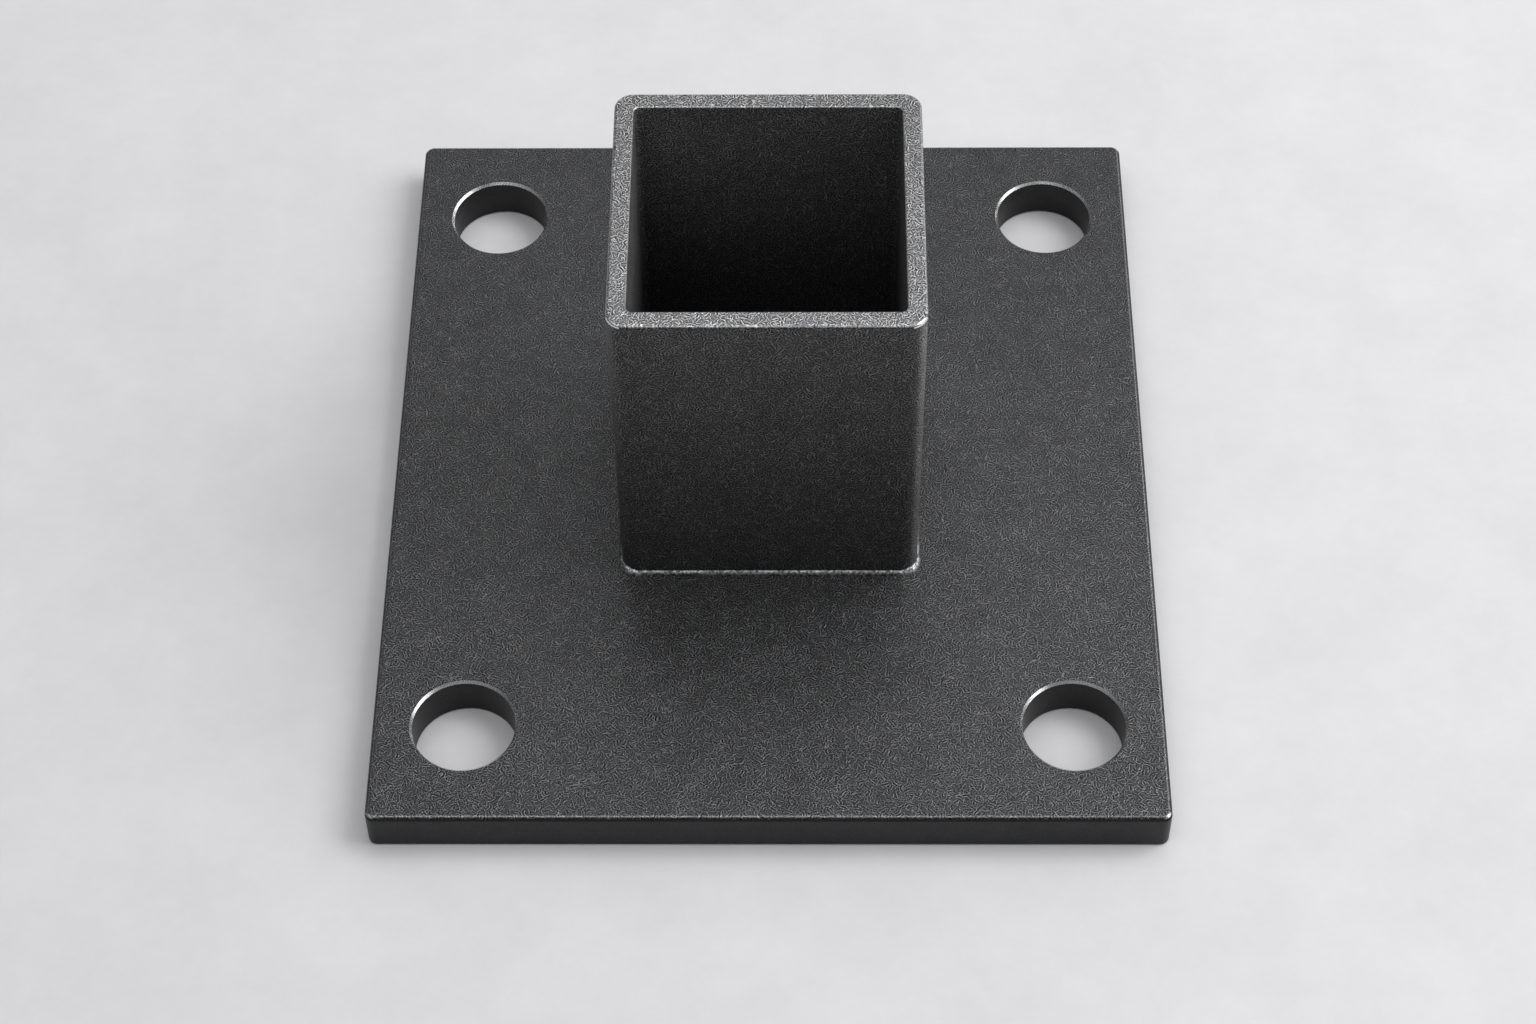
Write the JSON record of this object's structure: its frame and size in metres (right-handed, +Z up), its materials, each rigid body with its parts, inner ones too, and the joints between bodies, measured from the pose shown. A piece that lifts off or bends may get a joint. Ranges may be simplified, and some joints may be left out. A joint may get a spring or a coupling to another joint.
{
  "type": "flanged post",
  "caption": "Short square steel post, open at the top, welded upright on a flat rectangular flange with bolt holes near its corners, to fix a post, rail or frame to a floor.",
  "frame": {"origin": "centre of the base plate's underside, on the post's axis", "axes": "+Z up along the post, +X along the plate's shorter sides, +Y along its longer sides"},
  "size_m": [0.13, 0.148, 0.072],
  "materials": {
    "dark_plate_steel": "dark oiled mill finish with fine short curved scuffs",
    "dark_tube_steel": "dark oiled mill finish with fine short curved scuffs, brighter on the cut end",
    "weld_steel": "slightly bright, finely rippled weld metal"
  },
  "bodies": {
    "root": {"base_plate": "dark_plate_steel", "post_tube": "dark_tube_steel", "weld_bead": "weld_steel"}
  },
  "joints": []
}
